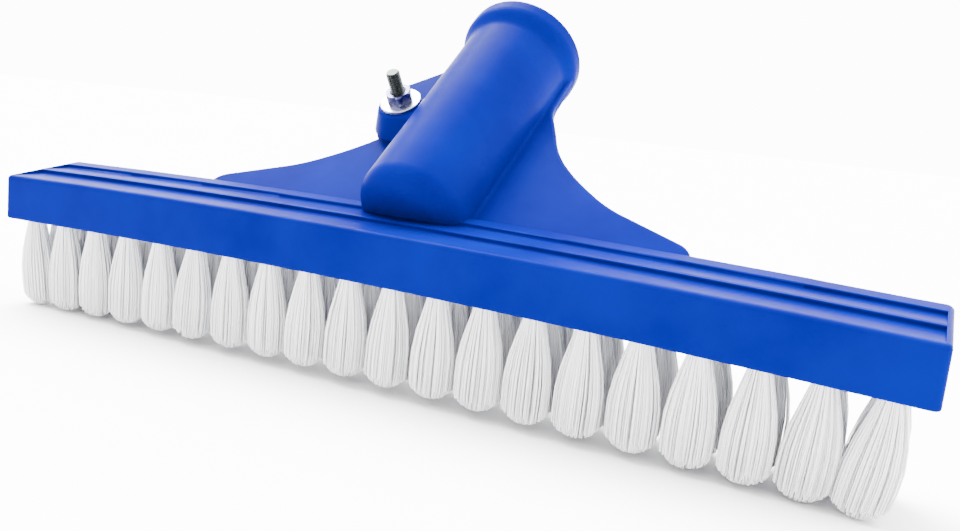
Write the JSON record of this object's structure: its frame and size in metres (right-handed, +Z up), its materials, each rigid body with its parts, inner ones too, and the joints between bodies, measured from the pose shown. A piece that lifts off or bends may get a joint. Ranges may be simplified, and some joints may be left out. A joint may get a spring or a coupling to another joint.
{
  "type": "pool wall brush",
  "caption": "Moulded plastic brush with a long arched bristle bar and a sloping split pole socket, clamped by a bolt, nut and washer.",
  "frame": {"origin": "centre of the whole brush's bounding box, at the level of the lowest bristle tips", "axes": "+Z up, bristles point to -Z; X along the bar; +Y towards the rear, where the pole socket opens"},
  "size_m": [0.254, 0.093, 0.1039],
  "materials": {
    "body": "glossy moulded blue polypropylene",
    "bristle": "clear white nylon filament",
    "anchor": "flat stainless wire",
    "bolt": "dark steel thread",
    "nut": "dark steel",
    "washer": "bright zinc plated"
  },
  "bodies": {
    "brush": {"brush_body": "body", "tuft_column_01": "bristle", "tuft_column_02": "bristle", "tuft_column_03": "bristle", "tuft_column_04": "bristle", "tuft_column_05": "bristle", "tuft_column_06": "bristle", "tuft_column_07": "bristle", "tuft_column_08": "bristle", "tuft_column_09": "bristle", "tuft_column_10": "bristle", "tuft_column_11": "bristle", "tuft_column_12": "bristle", "tuft_column_13": "bristle", "tuft_column_14": "bristle", "tuft_column_15": "bristle", "tuft_column_16": "bristle", "tuft_column_17": "bristle", "tuft_column_18": "bristle", "tuft_column_19": "bristle", "tuft_column_20": "bristle", "tuft_anchors": "anchor", "clamp_bolt": "bolt"},
    "washer": {"clamp_washer": "washer"},
    "nut": {"clamp_nut": "nut"}
  },
  "joints": [
    {"name": "washer_lift", "type": "slide", "parent": "brush", "child": "washer", "axis": [0, -0.606, 0.7955], "range_m": [0, 0.0063]},
    {"name": "nut_turn", "type": "hinge", "parent": "washer", "child": "nut", "pos_m": [-0.0224, 0.0015, 0.0716], "axis": [0, -0.606, 0.7955], "range_deg": [0, 3240]}
  ],
  "couplings": [
    {"joint": "nut_turn", "follows": "washer_lift", "rad_per_m": 8976}
  ]
}
